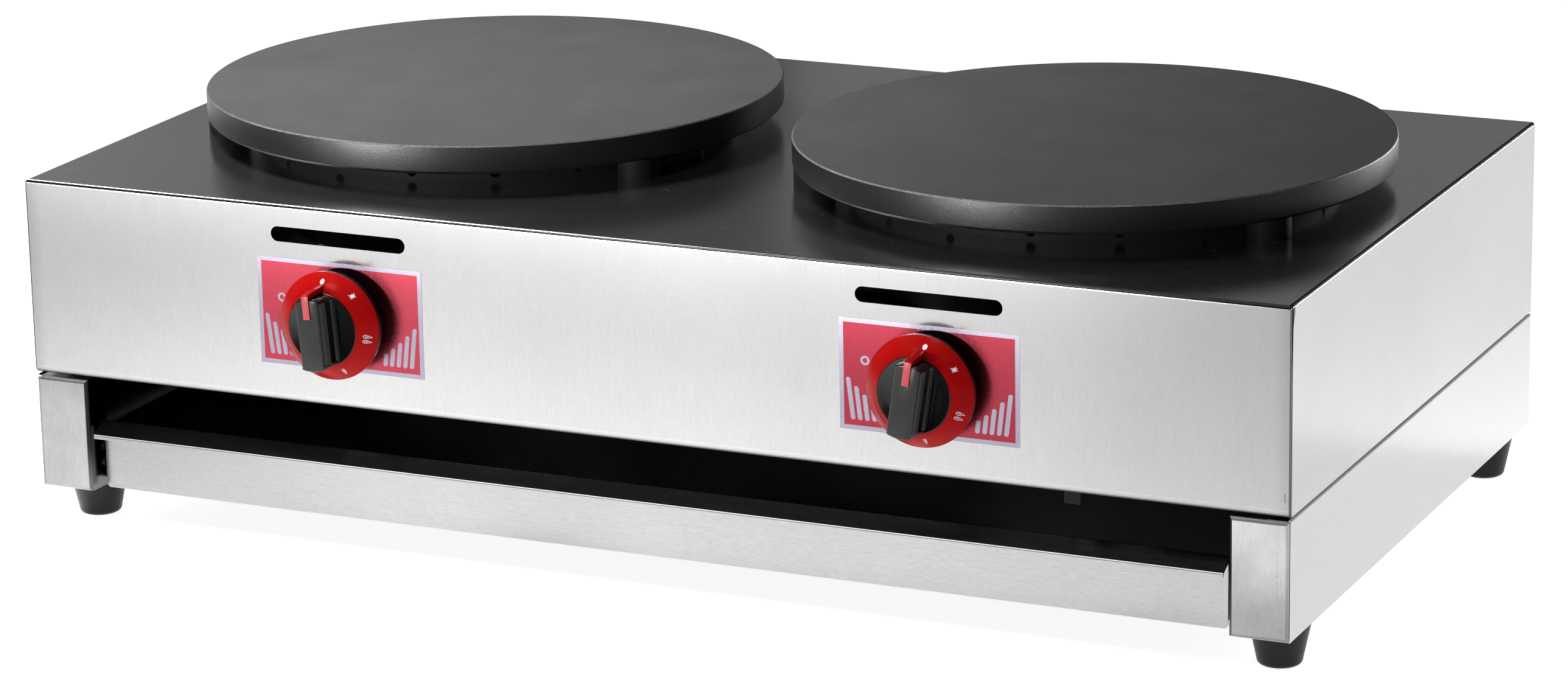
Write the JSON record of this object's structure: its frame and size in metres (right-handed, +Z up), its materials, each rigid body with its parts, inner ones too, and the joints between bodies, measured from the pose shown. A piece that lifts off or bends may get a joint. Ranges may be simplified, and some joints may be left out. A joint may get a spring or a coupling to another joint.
{
  "type": "twin-plate gas crepe maker",
  "caption": "Counter-top gas crepe maker: round griddle plates over star burners in a folded steel housing, push-and-turn knobs and a slide-out crumb tray.",
  "frame": {"origin": "on the standing plane, under the middle of the whole part's box", "axes": "+Z up, the knobs face -Y, +X to the right as seen from the front"},
  "size_m": [0.897, 0.591, 0.2762],
  "materials": {
    "stainless": "fine brushed",
    "zinc_plated": "dull plated",
    "foot_rubber": "matte",
    "spacer_plastic": "matte",
    "valve_brass": "machined",
    "griddle_iron": "matte, seasoned",
    "heat_tinted_steel": "heat tinted",
    "burner_iron": "as cast",
    "knob_red": "glossy",
    "knob_black": "satin",
    "label_film": "printed film",
    "ceramic_white": "glazed",
    "lead_sleeve": "silicone"
  },
  "bodies": {
    "cabinet": {"top_housing": "stainless", "rear_panel": "stainless", "base_side_left": "stainless", "base_side_right": "stainless", "base_back": "stainless", "tray_runner_left": "zinc_plated", "tray_runner_right": "zinc_plated", "foot_front_left": "foot_rubber", "foot_front_right": "foot_rubber", "foot_rear_left": "foot_rubber", "foot_rear_right": "foot_rubber", "foot_bolts": "zinc_plated", "seam_spacers": "spacer_plastic", "joining_screws": "zinc_plated", "rear_panel_screws": "zinc_plated", "base_rivets": "zinc_plated", "gas_pipe": "zinc_plated", "gas_pipe_plug": "valve_brass", "gas_inlet": "valve_brass", "inlet_locknut": "valve_brass", "pipe_hanger": "stainless", "left_vent_ring": "stainless", "left_burner_bowl": "heat_tinted_steel", "left_burner": "burner_iron", "left_burner_bracket": "zinc_plated", "left_mixer_tube": "zinc_plated", "left_gas_jet": "valve_brass", "left_gas_valve": "valve_brass", "left_valve_clamp": "zinc_plated", "left_knob_spring": "zinc_plated", "left_dial_label": "label_film", "left_spark_electrode": "ceramic_white", "left_ignition_lead": "lead_sleeve", "right_vent_ring": "stainless", "right_burner_bowl": "heat_tinted_steel", "right_burner": "burner_iron", "right_burner_bracket": "zinc_plated", "right_mixer_tube": "zinc_plated", "right_gas_jet": "valve_brass", "right_gas_valve": "valve_brass", "right_valve_clamp": "zinc_plated", "right_knob_spring": "zinc_plated", "right_dial_label": "label_film", "right_spark_electrode": "ceramic_white", "right_ignition_lead": "lead_sleeve"},
    "crumb_tray": {"crumb_tray": "stainless"},
    "left_plate_unit": {"left_plate": "griddle_iron", "left_plate_studs": "griddle_iron"},
    "left_plunger": {"left_spring_washer": "zinc_plated"},
    "left_knob": {"left_valve_spindle": "zinc_plated", "left_knob_skirt": "knob_red", "left_knob_grip": "knob_black", "left_knob_pointer": "knob_red"},
    "right_plate_unit": {"right_plate": "griddle_iron", "right_plate_studs": "griddle_iron"},
    "right_plunger": {"right_spring_washer": "zinc_plated"},
    "right_knob": {"right_valve_spindle": "zinc_plated", "right_knob_skirt": "knob_red", "right_knob_grip": "knob_black", "right_knob_pointer": "knob_red"}
  },
  "joints": [
    {"name": "tray_slide", "type": "slide", "parent": "cabinet", "child": "crumb_tray", "axis": [0, -1, 0], "range_m": [0, 0.4]},
    {"name": "left_plate_lift", "type": "slide", "parent": "cabinet", "child": "left_plate_unit", "axis": [0, 0, 1], "range_m": [0, 0.06]},
    {"name": "left_knob_push", "type": "slide", "parent": "cabinet", "child": "left_plunger", "axis": [0, 1, 0], "range_m": [0, 0.003], "stiffness_N_per_m": 1500, "springref_m": -0.003, "deforming": ["left_knob_spring"]},
    {"name": "left_knob_turn", "type": "hinge", "parent": "left_plunger", "child": "left_knob", "pos_m": [-0.21, -0.2525, 0.1687], "axis": [0, -1, 0], "range_deg": [0, 165]},
    {"name": "right_plate_lift", "type": "slide", "parent": "cabinet", "child": "right_plate_unit", "axis": [0, 0, 1], "range_m": [0, 0.06]},
    {"name": "right_knob_push", "type": "slide", "parent": "cabinet", "child": "right_plunger", "axis": [0, 1, 0], "range_m": [0, 0.003], "stiffness_N_per_m": 1500, "springref_m": -0.003, "deforming": ["right_knob_spring"]},
    {"name": "right_knob_turn", "type": "hinge", "parent": "right_plunger", "child": "right_knob", "pos_m": [0.21, -0.2525, 0.1687], "axis": [0, -1, 0], "range_deg": [0, 165]}
  ]
}
